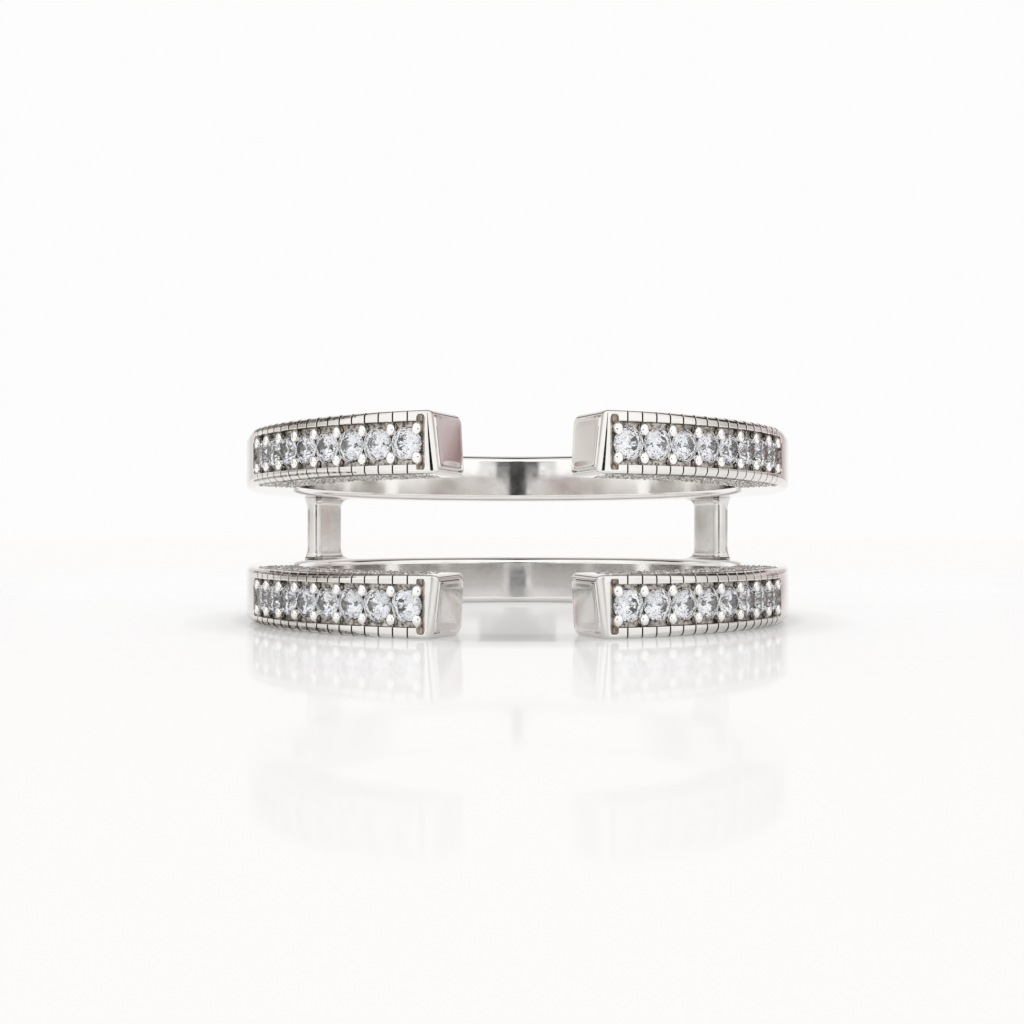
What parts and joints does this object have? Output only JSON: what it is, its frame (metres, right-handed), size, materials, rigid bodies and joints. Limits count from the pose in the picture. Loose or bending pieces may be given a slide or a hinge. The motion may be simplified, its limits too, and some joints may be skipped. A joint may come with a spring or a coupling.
{
  "type": "ring guard enhancer",
  "caption": "Ring guard of parallel open bands joined by bridge posts at the sides, with bead-set round stones in channelled arms between rails of small blocks.",
  "frame": {"origin": "centre of the finger hole, midway between the two bands' outer side faces", "axes": "+Z along the finger, -Y towards the opening between the arm ends, +X to the right seen from the opening; the ring lies on its -Z side"},
  "size_m": [0.021, 0.0207, 0.007],
  "materials": {
    "polished_silver": "polished",
    "clear_stone": "faceted and polished"
  },
  "bodies": {
    "root": {"ring_body": "polished_silver", "stone_upper_left_1": "clear_stone", "stone_upper_left_2": "clear_stone", "stone_upper_left_3": "clear_stone", "stone_upper_left_4": "clear_stone", "stone_upper_left_5": "clear_stone", "stone_upper_left_6": "clear_stone", "stone_upper_left_7": "clear_stone", "stone_upper_left_8": "clear_stone", "stone_upper_right_1": "clear_stone", "stone_upper_right_2": "clear_stone", "stone_upper_right_3": "clear_stone", "stone_upper_right_4": "clear_stone", "stone_upper_right_5": "clear_stone", "stone_upper_right_6": "clear_stone", "stone_upper_right_7": "clear_stone", "stone_upper_right_8": "clear_stone", "stone_lower_left_1": "clear_stone", "stone_lower_left_2": "clear_stone", "stone_lower_left_3": "clear_stone", "stone_lower_left_4": "clear_stone", "stone_lower_left_5": "clear_stone", "stone_lower_left_6": "clear_stone", "stone_lower_left_7": "clear_stone", "stone_lower_left_8": "clear_stone", "stone_lower_right_1": "clear_stone", "stone_lower_right_2": "clear_stone", "stone_lower_right_3": "clear_stone", "stone_lower_right_4": "clear_stone", "stone_lower_right_5": "clear_stone", "stone_lower_right_6": "clear_stone", "stone_lower_right_7": "clear_stone", "stone_lower_right_8": "clear_stone"}
  },
  "joints": []
}
